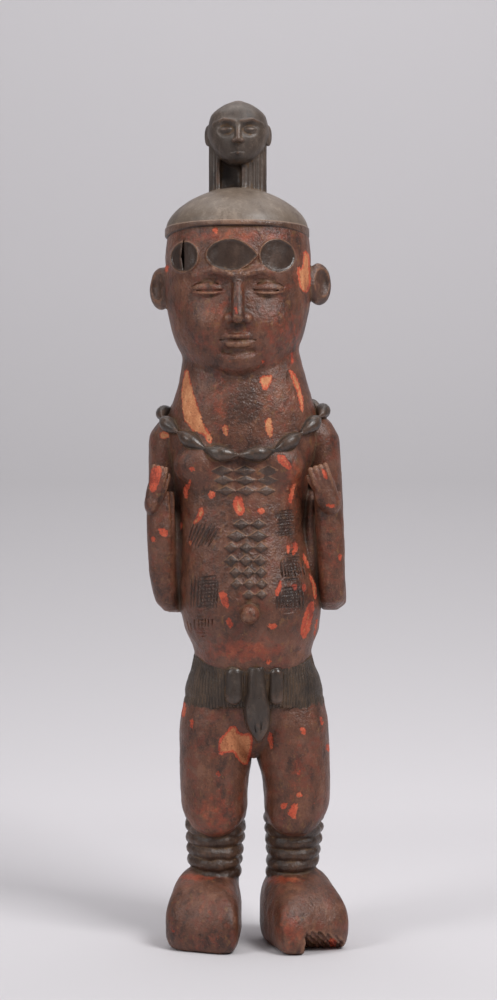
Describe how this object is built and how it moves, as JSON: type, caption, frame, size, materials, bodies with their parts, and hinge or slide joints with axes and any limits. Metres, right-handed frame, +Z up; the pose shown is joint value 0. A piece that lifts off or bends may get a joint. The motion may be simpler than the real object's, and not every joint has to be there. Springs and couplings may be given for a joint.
{
  "type": "carved wooden male figure",
  "caption": "Standing male figure carved from one log, arms folded up, with cap, small second head, bead necklace, fringed loincloth and leg rings.",
  "frame": {"origin": "On the ground under the figure, at the middle of the box round it seen from above.", "axes": "+Z up the figure; the figure faces -Y; +X to the right of someone who faces its front."},
  "size_m": [0.1906, 0.144, 0.8],
  "materials": {
    "painted_wood": "Carved hardwood with a red-brown ground, rubbed and darkened by handling to a semi-gloss patina. The cap is grey-brown, the small head, beads, ovals, fringe, pendants and leg rings are blackened, and chips show orange-red ground and pale tan wood."
  },
  "bodies": {
    "root": {"figure": "painted_wood"}
  },
  "joints": []
}
